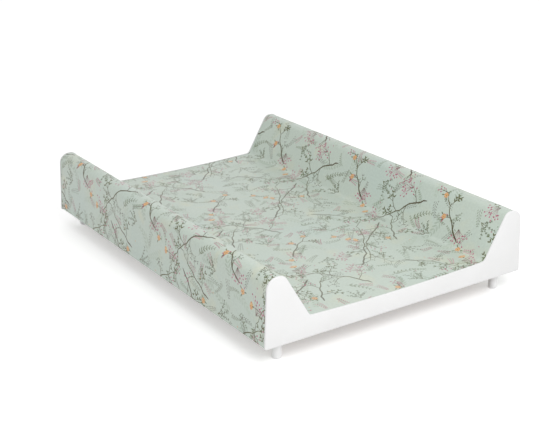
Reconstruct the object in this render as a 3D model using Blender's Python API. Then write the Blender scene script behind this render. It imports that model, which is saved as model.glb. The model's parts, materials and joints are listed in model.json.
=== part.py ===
"""Stiffened changing mat that stands across the top rails of a cot.

Two profiled end panels hold a thin base board between them. Foam bolsters stand along both
sides of a gently dished foam floor, one printed film is drawn over everything from hem to hem,
and four pegs under the corners stop the mat from sliding off the rails.

X runs across the mat, Y along it and Z up. The origin is the middle of the mat's plan, at the
level of the peg tips.
"""

import math

import bmesh
import bpy
from mathutils import Matrix, Vector

MM = 0.001

# Whole mat
MAT_LENGTH = 700 * MM
MAT_WIDTH = 500 * MM
WING_HEIGHT = 108.5 * MM

# Cross-section, the same at both ends: sizes run in from the side or up from the underside
SIDE_LEAN = 5.1 * MM
WING_BREADTH = 34.7 * MM
BOLSTER_BREADTH = 78.9 * MM
FLOOR_HEIGHT = 34.1 * MM
FLOOR_DISH = 3.7 * MM
FOOT_RADIUS = 3 * MM
WING_OUTER_RADIUS = 18 * MM
WING_INNER_RADIUS = 14.5 * MM
CREASE_RADIUS = 9 * MM

# Clearances
SEAT_GAP = 0.3 * MM
CUT_OVERRUN = 2 * MM
WELD_SHARE = 0.01

# End panels: a front lip stands proud of the film, and the film ends behind it in a rebate
PANEL_THICKNESS = 12 * MM
LIP_THICKNESS = 3 * MM
LIP_PROUD = 1 * MM
LIP_ARRIS = 1.2 * MM

# Cover film and the hems turned under both long sides
FILM_THICKNESS = 1 * MM
HEM_BREADTH = 25 * MM

# Boards
BASE_THICKNESS = 3 * MM
SIDE_BOARD_THICKNESS = 3 * MM
SIDE_BOARD_BELOW_ROUND = 2 * MM

# Battens across both ends of the base
BATTEN_WIDTH = 32 * MM
BATTEN_HEIGHT = 15 * MM
BATTEN_END_MARGIN = 6 * MM
BATTEN_ARRIS = 1 * MM

# Pegs
PEG_REACH = 30 * MM
PEG_DIAMETER = 15 * MM
PEG_TIP_RADIUS = 2.5 * MM
PEG_FROM_SIDE = 35 * MM
PEG_FROM_END = 22.5 * MM
TENON_DIAMETER = 10 * MM
TENON_IN_BATTEN = 8 * MM

# Countersunk screws that hold the pegs
SCREW_LENGTH = 32 * MM
SCREW_DIAMETER = 3.5 * MM
SCREW_HEAD_DIAMETER = 7 * MM
SCREW_HEAD_RIM = 0.4 * MM
SCREW_TIP_LENGTH = 4 * MM

# Dowels between panels and battens
DOWEL_DIAMETER = 8 * MM
DOWEL_LENGTH = 28 * MM
DOWEL_IN_PANEL = 8 * MM
DOWEL_CHAMFER = 1 * MM
DOWEL_PITCH = 150 * MM
DOWELS_PER_END = 3

# Staples
STAPLE_CROWN = 10 * MM
STAPLE_WIRE_WIDTH = 1.2 * MM
STAPLE_WIRE_THICKNESS = 0.6 * MM
HEM_STAPLE_LEG = 3.6 * MM
BASE_STAPLE_LEG = 8 * MM
HEM_STAPLES_PER_SIDE = 8
HEM_STAPLE_ROW_SHARE = 0.84
BASE_STAPLE_SHARES = (-0.78, -0.31, 0.31, 0.78)

# Facets
FOOT_STEPS = 3
WING_OUTER_STEPS = 9
WING_INNER_STEPS = 7
CREASE_STEPS = 5
FLOOR_HALF_STEPS = 7
PEG_SIDES = 32
SCREW_SIDES = 16
DOWEL_SIDES = 16
TIP_STEPS = 4
ARRIS_STEPS = 3
SMOOTH_BELOW = math.radians(30)

# Levels and depths worked out from the sizes above
UNDERSIDE = PEG_REACH
REBATE = LIP_PROUD + FILM_THICKNESS + SEAT_GAP
BASE_BOTTOM = UNDERSIDE + REBATE
BASE_TOP = BASE_BOTTOM + BASE_THICKNESS
INNER_FLOOR = BASE_TOP + SEAT_GAP
BATTEN_TOP = INNER_FLOOR + BATTEN_HEIGHT
SIDE_BOARD_TOP = UNDERSIDE + WING_HEIGHT - WING_OUTER_RADIUS - SIDE_BOARD_BELOW_ROUND
END_Y = MAT_LENGTH / 2
INNER_END_Y = END_Y - PANEL_THICKNESS - SEAT_GAP
FILM_END_Y = END_Y - LIP_THICKNESS - SEAT_GAP
CREASE_X = MAT_WIDTH / 2 - BOLSTER_BREADTH
PEG_X = MAT_WIDTH / 2 - PEG_FROM_SIDE
PEG_Y = END_Y - PEG_FROM_END

ENDS = {"near": -1, "far": 1}
SIDES = {"left": -1, "right": 1}

# Colours in linear light: colour, roughness
FINISHES = {
    "white_board": ((0.80, 0.80, 0.79), 0.35),
    "printed_film": ((0.47, 0.56, 0.47), 0.40),
    "hardboard": ((0.30, 0.19, 0.11), 0.70),
    "softwood": ((0.62, 0.45, 0.27), 0.65),
    "foam": ((0.78, 0.74, 0.60), 0.95),
    "white_plastic": ((0.82, 0.82, 0.81), 0.30),
    "beech": ((0.60, 0.42, 0.25), 0.60),
    "zinc_steel": ((0.62, 0.62, 0.60), 0.30),
}


def material(name):
    """A Principled material with one of the finishes above."""
    if name in bpy.data.materials:
        return bpy.data.materials[name]
    colour, roughness = FINISHES[name]
    made = bpy.data.materials.new(name)
    made.use_nodes = True
    shader = made.node_tree.nodes["Principled BSDF"]
    shader.inputs["Base Color"].default_value = (*colour, 1.0)
    shader.inputs["Roughness"].default_value = roughness
    shader.inputs["Metallic"].default_value = 1.0 if name == "zinc_steel" else 0.0
    return made


def add_object(name, mesh, finish, parent, place=Matrix.Identity(4)):
    """Link a mesh, which copies may share, to the scene as one sub-part at its place."""
    if not mesh.materials:
        mesh.materials.append(material(finish))
    piece = bpy.data.objects.new(name, mesh)
    piece.matrix_basis = place
    piece.parent = parent
    bpy.context.scene.collection.objects.link(piece)
    return piece


def add_row(name, mesh, finish, parent, places):
    """Numbered copies of one mesh, each its own object, at their places."""
    for number, place in enumerate(places, 1):
        add_object(name + "_" + str(number), mesh, finish, parent, place)


def add_cutter(name, mesh):
    """Link a mesh as a hidden cutting shape."""
    cutter = bpy.data.objects.new(name, mesh)
    cutter.hide_render = True
    cutter.display_type = "WIRE"
    bpy.context.scene.collection.objects.link(cutter)
    return cutter


def cut(piece, cutter):
    """Take the cutter's shape out of the piece."""
    boolean = piece.modifiers.new(cutter.name, "BOOLEAN")
    boolean.operation = "DIFFERENCE"
    boolean.solver = "EXACT"
    boolean.object = cutter


def finish_mesh(name, shape):
    """Turn a bmesh into a closed mesh whose faces point out, with sharp edges kept crisp."""
    bmesh.ops.recalc_face_normals(shape, faces=shape.faces)
    mesh = bpy.data.meshes.new(name)
    shape.to_mesh(mesh)
    shape.free()
    mesh.shade_smooth()
    mesh.set_sharp_from_angle(angle=SMOOTH_BELOW)
    return mesh


def lofted(name, rings):
    """Skin a stack of closed rings, each a list of 3-D points, and cap both ends."""
    shape = bmesh.new()
    rows = [[shape.verts.new(point) for point in ring] for ring in rings]
    for lower, upper in zip(rows, rows[1:]):
        for i in range(len(lower)):
            shape.faces.new((lower[i - 1], lower[i], upper[i], upper[i - 1]))
    shape.faces.new(rows[0])
    shape.faces.new(rows[-1])
    return finish_mesh(name, shape)


def prism(name, section, y_from, y_to):
    """Extrude a section, a list of (x, z) points, along Y."""
    return lofted(name, [[(x, y, z) for x, z in section] for y in (y_from, y_to)])


def box(shape, low, high, place=Matrix.Identity(4)):
    """Add a box between two corners of a frame to a bmesh."""
    middle = (Vector(low) + Vector(high)) / 2
    sizes = Vector(high) - Vector(low)
    matrix = place @ Matrix.Translation(middle) @ Matrix.Diagonal((*sizes, 1))
    bmesh.ops.create_cube(shape, size=1, matrix=matrix)


def turn(shape, profile, sides, place=Matrix.Identity(4)):
    """Spin a profile of (radius, height) points, from axis to axis, and add it to a bmesh."""
    lathe = bmesh.new()
    verts = [lathe.verts.new((radius, 0, height)) for radius, height in profile]
    edges = [lathe.edges.new(pair) for pair in zip(verts, verts[1:])]
    bmesh.ops.spin(
        lathe, geom=verts + edges, cent=(0, 0, 0), axis=(0, 0, 1), angle=math.tau, steps=sides,
        use_merge=True,
    )
    bmesh.ops.remove_doubles(lathe, verts=lathe.verts, dist=SEAT_GAP * WELD_SHARE)
    bmesh.ops.transform(lathe, matrix=place, verts=lathe.verts)
    turned = bpy.data.meshes.new("turned")
    lathe.to_mesh(turned)
    lathe.free()
    shape.from_mesh(turned)
    bpy.data.meshes.remove(turned)


def arc_points(centre, radius, start, sweep, steps):
    """Points along an arc, both ends included."""
    angles = [start + sweep * i / steps for i in range(steps + 1)]
    return [centre + radius * Vector((math.cos(a), math.sin(a))) for a in angles]


def filleted(corners):
    """Round each (point, radius, steps) corner of an open chain, limited by the walls beside it."""
    points = [Vector(point) for point, _, _ in corners]
    wanted = [0.0] * len(corners)
    for i in range(1, len(corners) - 1):
        before = (points[i] - points[i - 1]).normalized()
        after = (points[i + 1] - points[i]).normalized()
        wanted[i] = corners[i][1] * math.tan(before.angle(after) / 2)
    chain = [points[0]]
    for i in range(1, len(corners) - 1):
        to_before, to_after = points[i - 1] - points[i], points[i + 1] - points[i]
        room = min(
            1,
            to_before.length / (wanted[i] + wanted[i - 1]),
            to_after.length / (wanted[i] + wanted[i + 1]),
        )
        first = points[i] + to_before.normalized() * wanted[i] * room
        last = points[i] + to_after.normalized() * wanted[i] * room
        middle = (to_before.normalized() + to_after.normalized()).normalized()
        half_angle = to_before.angle(to_after) / 2
        radius = corners[i][1] * room
        centre = points[i] + middle * radius / math.sin(half_angle)
        start = math.atan2(*(first - centre).yx)
        sweep = math.atan2(*(last - centre).yx) - start
        sweep = (sweep + math.pi) % math.tau - math.pi
        chain += arc_points(centre, radius, start, sweep, corners[i][2])
    return chain + [points[-1]]


def floor_z(x):
    """Height of the dished floor's outline at a place across the mat."""
    return UNDERSIDE + FLOOR_HEIGHT - FLOOR_DISH * (1 - (x / CREASE_X) ** 2)


def inset(points, depth):
    """Move a closed outline inwards by the same depth everywhere; points run anticlockwise."""
    moved = []
    for i, point in enumerate(points):
        before = (point - points[i - 1]).normalized()
        after = (points[(i + 1) % len(points)] - point).normalized()
        normal = Vector((-before.y - after.y, before.x + after.x)).normalized()
        moved.append(point + normal * depth / normal.dot(Vector((-after.y, after.x))))
    return moved


def cross_section(depth):
    """Closed outline of the mat, anticlockwise from the right foot, moved inwards by a depth."""
    half = MAT_WIDTH / 2
    top = UNDERSIDE + WING_HEIGHT
    floor_x = [CREASE_X * i / FLOOR_HALF_STEPS for i in range(FLOOR_HALF_STEPS - 1, 0, -1)]
    floor = [Vector((x, floor_z(x))) for x in floor_x]
    corners = [
        ((0, UNDERSIDE), 0, 0),
        ((half, UNDERSIDE), FOOT_RADIUS, FOOT_STEPS),
        ((half - SIDE_LEAN, top), WING_OUTER_RADIUS, WING_OUTER_STEPS),
        ((half - WING_BREADTH, top), WING_INNER_RADIUS, WING_INNER_STEPS),
        ((CREASE_X, floor_z(CREASE_X)), CREASE_RADIUS, CREASE_STEPS),
        (floor[0], 0, 0),
    ]
    right = filleted(corners)[1:] + floor[1:]
    left = [Vector((-point.x, point.y)) for point in reversed(right)]
    return inset([*right, Vector((0, floor_z(0))), *left], depth)


def clipped(points, through, keep):
    """Cut a closed outline along the line through a point, and keep the side that keep points to."""
    kept = []
    for i, point in enumerate(points):
        last = points[i - 1]
        depth, last_depth = (point - through).dot(keep), (last - through).dot(keep)
        if depth * last_depth < 0:
            kept.append(last.lerp(point, last_depth / (last_depth - depth)))
        if depth >= 0:
            kept.append(point)
    return kept


def side_face(depth):
    """A point on the right side's outer face, moved in by a depth, and its inward normal."""
    along = Vector((-SIDE_LEAN, WING_HEIGHT)).normalized()
    inward = Vector((-along.y, along.x))
    return Vector((MAT_WIDTH / 2, UNDERSIDE)) + inward * depth, inward


def side_x(depth, z):
    """How far out the right side's face, moved in by a depth, lies at a height."""
    point, inward = side_face(depth)
    return point.x - (z - point.y) * inward.y / inward.x


def mirrored(section, side):
    """The right-hand section, or its mirror image for the left side."""
    return [Vector((side * point.x, point.y)) for point in section]


def build_panel(name, end, parent):
    """End panel: the lip's front arris is rounded, and the body behind it is rebated all round."""
    front = []
    for i in range(ARRIS_STEPS + 1):
        angle = math.pi / 2 * i / ARRIS_STEPS
        front.append((LIP_ARRIS * (1 - math.sin(angle)), LIP_ARRIS * (1 - math.cos(angle))))
    steps = front + [(0, LIP_THICKNESS), (REBATE, LIP_THICKNESS), (REBATE, PANEL_THICKNESS)]
    rings = []
    for depth, back in steps:
        y = end * (END_Y - back)
        rings.append([(point.x, y, point.y) for point in cross_section(depth)])
    panel = add_object(name, lofted(name, rings), "white_board", parent)
    holes = bmesh.new()
    for x in dowel_places():
        bore = DOWEL_DIAMETER / 2 + SEAT_GAP
        mouth = DOWEL_IN_PANEL + SEAT_GAP
        profile = [(0, -CUT_OVERRUN), (bore, -CUT_OVERRUN), (bore, mouth), (0, mouth)]
        turn(holes, profile, DOWEL_SIDES, dowel_frame(x, end))
    cut(panel, add_cutter(name + "_dowel_holes", finish_mesh(name + "_dowel_holes", holes)))


def dowel_places():
    """Places of the dowels across an end."""
    return [DOWEL_PITCH * (i - (DOWELS_PER_END - 1) / 2) for i in range(DOWELS_PER_END)]


def dowel_frame(x, end):
    """Frame at a dowel's place on the panel's inner face, with +Z out through the panel."""
    turned = Matrix.Rotation(-end * math.pi / 2, 4, "X")
    height = INNER_FLOOR + BATTEN_HEIGHT / 2
    return Matrix.Translation((x, end * (END_Y - PANEL_THICKNESS), height)) @ turned


def build_dowels(parent):
    """Chamfered dowels, part in a panel and part in its batten."""
    radius = DOWEL_DIAMETER / 2
    low, high = DOWEL_IN_PANEL - DOWEL_LENGTH, DOWEL_IN_PANEL
    profile = [
        (0, low), (radius - DOWEL_CHAMFER, low), (radius, low + DOWEL_CHAMFER),
        (radius, high - DOWEL_CHAMFER), (radius - DOWEL_CHAMFER, high), (0, high),
    ]
    shape = bmesh.new()
    turn(shape, profile, DOWEL_SIDES)
    mesh = finish_mesh("panel_dowel", shape)
    for word, end in ENDS.items():
        places = [dowel_frame(x, end) for x in dowel_places()]
        add_row("panel_dowel_" + word, mesh, "beech", parent, places)


def staple_mesh(name, leg):
    """A staple whose crown lies along X with its top at zero, and whose legs point up."""
    half = STAPLE_CROWN / 2
    wire = STAPLE_WIRE_THICKNESS
    outline = [
        (-half, -wire), (half, -wire), (half, leg), (half - wire, leg),
        (half - wire, 0), (wire - half, 0), (wire - half, leg), (-half, leg),
    ]
    return prism(name, outline, -STAPLE_WIRE_WIDTH / 2, STAPLE_WIRE_WIDTH / 2)


def staple_slots(shape, place, leg):
    """Slots that clear both legs of a staple."""
    half = STAPLE_CROWN / 2 + SEAT_GAP
    wide = STAPLE_WIRE_WIDTH / 2 + SEAT_GAP
    thick = STAPLE_WIRE_THICKNESS + 2 * SEAT_GAP
    for low_x in (-half, half - thick):
        box(shape, (low_x, -wide, -CUT_OVERRUN), (low_x + thick, wide, leg + SEAT_GAP), place)


def hem_staple_places(side):
    """Frames of the staples along one hem, with their crowns along the mat."""
    x = side * (MAT_WIDTH / 2 - LIP_PROUD - HEM_BREADTH / 2)
    height = UNDERSIDE + LIP_PROUD - SEAT_GAP
    span = 2 * INNER_END_Y * HEM_STAPLE_ROW_SHARE
    turned = Matrix.Rotation(math.pi / 2, 4, "Z")
    places = []
    for i in range(HEM_STAPLES_PER_SIDE):
        y = span * (i / (HEM_STAPLES_PER_SIDE - 1) - 1 / 2)
        places.append(Matrix.Translation((x, y, height)) @ turned)
    return places


def base_staple_places(end):
    """Frames of the staples that hold the base board to one batten."""
    y = end * (INNER_END_Y - BATTEN_WIDTH / 2)
    height = BASE_BOTTOM - SEAT_GAP
    return [Matrix.Translation((share * batten_half(), y, height)) for share in BASE_STAPLE_SHARES]


def build_staples(parent):
    """A row of staples through each hem, and a row into each batten."""
    hem_staple = staple_mesh("hem_staple", HEM_STAPLE_LEG)
    for word, side in SIDES.items():
        add_row("hem_staple_" + word, hem_staple, "zinc_steel", parent, hem_staple_places(side))
    base_staple = staple_mesh("base_staple", BASE_STAPLE_LEG)
    for word, end in ENDS.items():
        add_row("base_staple_" + word, base_staple, "zinc_steel", parent, base_staple_places(end))


def base_half():
    """Half the width of the base board, which lies between the side boards."""
    return side_x(REBATE + SIDE_BOARD_THICKNESS, BASE_TOP) - SEAT_GAP


def batten_half():
    """Half the length of a batten."""
    return base_half() - BATTEN_END_MARGIN


def batten_box(end, margin):
    """Low and high corners of a batten's space, grown by a margin."""
    half = batten_half() + margin
    ys = sorted((end * (INNER_END_Y + margin), end * (INNER_END_Y - BATTEN_WIDTH - margin)))
    low = (-half, ys[0], INNER_FLOOR - margin)
    high = (half, ys[1], BATTEN_TOP + margin)
    return low, high


def peg_frame(end, side):
    """Frame on a corner's peg axis, at the height of the underside."""
    return Matrix.Translation((side * PEG_X, end * PEG_Y, UNDERSIDE))


def batten_bore_profile():
    """Space in a batten for the peg's tenon, the screw's shank and its countersunk head."""
    tenon = TENON_DIAMETER / 2 + SEAT_GAP
    tenon_top = INNER_FLOOR + TENON_IN_BATTEN + SEAT_GAP - UNDERSIDE
    shank = SCREW_DIAMETER / 2 + SEAT_GAP
    head = SCREW_HEAD_DIAMETER / 2 + SEAT_GAP
    top = BATTEN_TOP - UNDERSIDE
    rim = top - SEAT_GAP - SCREW_HEAD_RIM
    return [
        (0, -CUT_OVERRUN), (tenon, -CUT_OVERRUN), (tenon, tenon_top), (shank, tenon_top),
        (shank, rim - (head - shank)), (head, rim), (head, top + CUT_OVERRUN), (0, top + CUT_OVERRUN),
    ]


def build_base(parent):
    """Base board with holes for the tenons and slots for the staples."""
    shape = bmesh.new()
    box(shape, (-base_half(), -INNER_END_Y, BASE_BOTTOM), (base_half(), INNER_END_Y, BASE_TOP))
    base = add_object("base_board", finish_mesh("base_board", shape), "hardboard", parent)
    cuts = bmesh.new()
    tenon = TENON_DIAMETER / 2 + SEAT_GAP
    low, high = -CUT_OVERRUN, BASE_TOP - UNDERSIDE + CUT_OVERRUN
    for end in ENDS.values():
        for side in SIDES.values():
            profile = [(0, low), (tenon, low), (tenon, high), (0, high)]
            turn(cuts, profile, PEG_SIDES, peg_frame(end, side))
        for place in base_staple_places(end):
            staple_slots(cuts, place, BASE_STAPLE_LEG)
    for side in SIDES.values():
        for place in hem_staple_places(side):
            staple_slots(cuts, place, HEM_STAPLE_LEG)
    cut(base, add_cutter("base_cuts", finish_mesh("base_cuts", cuts)))


def build_batten(name, end, parent):
    """Batten across one end, bored for the pegs, screws and dowels and slotted for staples."""
    shape = bmesh.new()
    box(shape, *batten_box(end, 0))
    bmesh.ops.bevel(shape, geom=shape.edges[:], offset=BATTEN_ARRIS, segments=1, affect="EDGES")
    batten = add_object(name, finish_mesh(name, shape), "softwood", parent)
    cuts = bmesh.new()
    for side in SIDES.values():
        turn(cuts, batten_bore_profile(), PEG_SIDES, peg_frame(end, side))
    bore = DOWEL_DIAMETER / 2 + SEAT_GAP
    bottom = DOWEL_IN_PANEL - DOWEL_LENGTH - SEAT_GAP
    for x in dowel_places():
        profile = [(0, bottom), (bore, bottom), (bore, CUT_OVERRUN), (0, CUT_OVERRUN)]
        turn(cuts, profile, DOWEL_SIDES, dowel_frame(x, end))
    for place in base_staple_places(end):
        staple_slots(cuts, place, BASE_STAPLE_LEG)
    cut(batten, add_cutter(name + "_cuts", finish_mesh(name + "_cuts", cuts)))


def build_side_board(name, side, parent):
    """Thin upright board that keeps a side flat, from the base's underside to below the round."""
    point, inward = side_face(REBATE + SIDE_BOARD_THICKNESS)
    section = clipped(cross_section(REBATE), point, -inward)
    section = clipped(section, Vector((0, SIDE_BOARD_TOP)), Vector((0, -1)))
    section = mirrored(section, side)
    add_object(name, prism(name, section, -INNER_END_Y, INNER_END_Y), "hardboard", parent)


def side_board_space(name, side):
    """Cutting shape that clears one side board."""
    point, inward = side_face(REBATE + SIDE_BOARD_THICKNESS + SEAT_GAP)
    top = SIDE_BOARD_TOP + SEAT_GAP
    outside = MAT_WIDTH / 2 + CUT_OVERRUN
    bottom = UNDERSIDE - CUT_OVERRUN
    along = Vector((inward.y, -inward.x))
    low = point - along * ((point.y - bottom) / along.y)
    high = point + along * ((top - point.y) / along.y)
    section = mirrored([low, Vector((outside, bottom)), Vector((outside, top)), high], side)
    reach = INNER_END_Y + CUT_OVERRUN
    return add_cutter(name, prism(name, section, -reach, reach))


def build_foam(parent):
    """Both side bolsters and the dished floor, with pockets over the battens."""
    pockets = bmesh.new()
    for end in ENDS.values():
        box(pockets, *batten_box(end, SEAT_GAP))
    pocket = add_cutter("batten_pockets", finish_mesh("batten_pockets", pockets))
    core = clipped(cross_section(REBATE), Vector((0, INNER_FLOOR)), Vector((0, 1)))
    for word, side in SIDES.items():
        edge = Vector((CREASE_X + SEAT_GAP / 2, 0))
        section = mirrored(clipped(core, edge, Vector((1, 0))), side)
        name = "bolster_foam_" + word
        mesh = prism(name, section, -INNER_END_Y, INNER_END_Y)
        bolster = add_object(name, mesh, "foam", parent)
        cut(bolster, side_board_space("side_board_space_" + word, side))
        cut(bolster, pocket)
    edge = Vector((CREASE_X - SEAT_GAP / 2, 0))
    section = clipped(clipped(core, edge, Vector((-1, 0))), -edge, Vector((1, 0)))
    mesh = prism("floor_foam", section, -INNER_END_Y, INNER_END_Y)
    cut(add_object("floor_foam", mesh, "foam", parent), pocket)


def build_cover(parent):
    """One film from hem to hem: up the side, over a bolster, across the floor and down again."""
    outline = cross_section(LIP_PROUD)
    hem_x = MAT_WIDTH / 2 - LIP_PROUD - HEM_BREADTH
    level = UNDERSIDE + LIP_PROUD
    path = [Vector((hem_x, level)), *outline, Vector((-hem_x, level))]
    shape = bmesh.new()
    rows = []
    for y in (-FILM_END_Y, FILM_END_Y):
        rows.append([shape.verts.new((point.x, y, point.y)) for point in path])
    for i in range(len(path) - 1):
        shape.faces.new((rows[0][i], rows[0][i + 1], rows[1][i + 1], rows[1][i]))
    mesh = bpy.data.meshes.new("cover")
    shape.to_mesh(mesh)
    shape.free()
    cover = add_object("cover", mesh, "printed_film", parent)
    film = cover.modifiers.new("film", "SOLIDIFY")
    film.thickness = FILM_THICKNESS
    film.offset = 1
    film.use_even_offset = True
    slots = bmesh.new()
    for side in SIDES.values():
        for place in hem_staple_places(side):
            staple_slots(slots, place, HEM_STAPLE_LEG)
    cut(cover, add_cutter("hem_slots", finish_mesh("hem_slots", slots)))


def peg_profile():
    """A peg from its bore, over the tenon and shoulder, down to the rounded tip."""
    bore = SCREW_DIAMETER / 2 + SEAT_GAP
    bore_bottom = screw_top() - SCREW_LENGTH - SEAT_GAP
    tenon, shank = TENON_DIAMETER / 2, PEG_DIAMETER / 2
    tenon_top = INNER_FLOOR + TENON_IN_BATTEN - UNDERSIDE
    shoulder = BASE_BOTTOM - SEAT_GAP - UNDERSIDE
    centre = Vector((shank - PEG_TIP_RADIUS, PEG_TIP_RADIUS - PEG_REACH))
    tip = arc_points(centre, PEG_TIP_RADIUS, 0, -math.pi / 2, TIP_STEPS)
    profile = [(0, bore_bottom), (bore, bore_bottom), (bore, tenon_top), (tenon, tenon_top)]
    profile += [(tenon, shoulder), (shank, shoulder)]
    return profile + [tuple(point) for point in tip] + [(0, -PEG_REACH)]


def screw_top():
    """Height of a screw's head above the underside."""
    return BATTEN_TOP - SEAT_GAP - UNDERSIDE


def build_pegs(parent):
    """Four turned pegs, and the countersunk screws that hold them from inside."""
    shape = bmesh.new()
    turn(shape, peg_profile(), PEG_SIDES)
    peg = finish_mesh("peg", shape)
    head, shank = SCREW_HEAD_DIAMETER / 2, SCREW_DIAMETER / 2
    top = screw_top()
    rim, point = top - SCREW_HEAD_RIM, top - SCREW_LENGTH
    profile = [
        (0, top), (head, top), (head, rim), (shank, rim - (head - shank)),
        (shank, point + SCREW_TIP_LENGTH), (0, point),
    ]
    shape = bmesh.new()
    turn(shape, profile, SCREW_SIDES)
    screw = finish_mesh("peg_screw", shape)
    for end_word, end in ENDS.items():
        for side_word, side in SIDES.items():
            corner = end_word + "_" + side_word
            add_object("peg_" + corner, peg, "white_plastic", parent, peg_frame(end, side))
            add_object("peg_screw_" + corner, screw, "zinc_steel", parent, peg_frame(end, side))


def build_mat():
    """Build every sub-part of the mat under one empty."""
    for old in list(bpy.data.objects):
        bpy.data.objects.remove(old, do_unlink=True)
    mat = bpy.data.objects.new("changing_mat", None)
    bpy.context.scene.collection.objects.link(mat)
    for word, end in ENDS.items():
        build_panel("end_panel_" + word, end, mat)
        build_batten("batten_" + word, end, mat)
    for word, side in SIDES.items():
        build_side_board("side_board_" + word, side, mat)
    build_base(mat)
    build_foam(mat)
    build_cover(mat)
    build_dowels(mat)
    build_pegs(mat)
    build_staples(mat)


build_mat()
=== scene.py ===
"""Looks of a stiffened changing mat: printed cover, lacquered panels, pegs, foam and boards."""

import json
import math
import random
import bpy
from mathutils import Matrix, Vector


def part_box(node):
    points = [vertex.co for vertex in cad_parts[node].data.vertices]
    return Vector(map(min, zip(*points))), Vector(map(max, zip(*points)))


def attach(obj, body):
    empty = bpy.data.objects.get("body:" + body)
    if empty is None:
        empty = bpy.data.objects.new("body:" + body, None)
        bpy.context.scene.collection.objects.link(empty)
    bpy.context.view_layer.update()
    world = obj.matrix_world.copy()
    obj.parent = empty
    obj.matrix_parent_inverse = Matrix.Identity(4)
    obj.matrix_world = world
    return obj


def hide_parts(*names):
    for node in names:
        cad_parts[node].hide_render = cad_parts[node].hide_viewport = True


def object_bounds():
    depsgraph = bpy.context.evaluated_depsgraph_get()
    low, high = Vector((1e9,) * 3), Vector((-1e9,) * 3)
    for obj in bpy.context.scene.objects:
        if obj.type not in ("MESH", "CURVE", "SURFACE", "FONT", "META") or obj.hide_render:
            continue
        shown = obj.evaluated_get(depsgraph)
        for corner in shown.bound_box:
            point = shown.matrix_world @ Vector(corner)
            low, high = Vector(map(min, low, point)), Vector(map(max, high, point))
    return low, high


bl_info = {
    "name": "Changing Mat Looks",
    "version": (1, 0, 0),
    "blender": (4, 5, 0),
    "location": "3D View > Sidebar > Changing Mat",
    "description": "Finishes the changing mat's pieces and sets up a plain studio round it",
    "category": "Object",
}

from collections import namedtuple
from functools import partial

import bmesh
import bpy
import numpy as np
from bpy.props import FloatProperty, FloatVectorProperty, IntProperty, PointerProperty
from mathutils import Matrix, Vector
from mathutils.geometry import delaunay_2d_cdt

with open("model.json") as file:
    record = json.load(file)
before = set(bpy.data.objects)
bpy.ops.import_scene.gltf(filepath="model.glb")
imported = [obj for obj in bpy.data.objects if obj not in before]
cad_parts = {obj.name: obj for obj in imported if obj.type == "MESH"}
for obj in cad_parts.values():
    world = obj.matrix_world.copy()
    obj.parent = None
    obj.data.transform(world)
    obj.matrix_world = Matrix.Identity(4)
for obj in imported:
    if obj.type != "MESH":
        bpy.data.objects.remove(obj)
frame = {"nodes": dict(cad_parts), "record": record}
CAD_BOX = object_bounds()

MM = 0.001
ENDS = ("near", "far")
SIDES = ("left", "right")
FLOOR_LEVEL = CAD_BOX[0].z
PANEL_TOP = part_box("end_panel_near")[1].z
PANEL_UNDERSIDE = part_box("end_panel_near")[0].z


def length(name, description, default):
    """A length that a user may change, in metres."""
    return FloatProperty(
        name=name, description=description, default=default, min=0, subtype="DISTANCE", unit="LENGTH"
    )


def colour(name, description, default):
    """A colour in linear light."""
    return FloatVectorProperty(
        name=name, description=description, default=default, size=3, min=0, max=1, subtype="COLOR"
    )


def number(name, description, default):
    """A plain number."""
    return FloatProperty(name=name, description=description, default=default)


def spot(name, description, default):
    """A place in the room, in metres."""
    return FloatVectorProperty(
        name=name, description=description, default=default, size=3, subtype="TRANSLATION", unit="LENGTH"
    )


class MatSection(bpy.types.PropertyGroup):
    """The profile shared by the panels, the film and the foam."""

    half_width: length("Half Width", "From the middle to the foot of a side", 250 * MM)
    side_lean: length("Side Lean", "How far a side leans in over its height", 5.1 * MM)
    wing_breadth: length("Wing Breadth", "From a side to the inner edge of a raised top", 34.7 * MM)
    bolster_breadth: length("Bolster Breadth", "From a side to the crease", 78.9 * MM)
    floor_height: length("Floor Height", "From the underside to the crease", 34.1 * MM)
    floor_dish: length("Floor Dish", "How far the floor drops in the middle", 3.7 * MM)
    foot_radius: length("Foot Radius", "Round under a side", 3 * MM)
    wing_outer_radius: length("Outer Radius", "Round on the outer top", 18 * MM)
    wing_inner_radius: length("Inner Radius", "Round on the inner top", 14.5 * MM)
    crease_radius: length("Crease Radius", "Round where floor and bolster meet", 9 * MM)
    lip_thickness: length("Lip Thickness", "Thickness of a panel's front lip", 3 * MM)
    lip_proud: length("Lip Proud", "How far the lip stands over the film", 1 * MM)
    lip_arris: length("Lip Arris", "Round on the lip's front edge", 1.2 * MM)
    rebate: length("Rebate", "How far a panel's body stands back from its lip", 2.3 * MM)
    film_thickness: length("Film Thickness", "Thickness of the cover film", 1 * MM)
    hem_breadth: length("Hem Breadth", "How far the film is turned under", 25 * MM)
    seat_gap: length("Seat Gap", "Clearance between neighbours", 0.3 * MM)
    board_thickness: length("Board Thickness", "Thickness of the side boards", 3 * MM)


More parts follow.
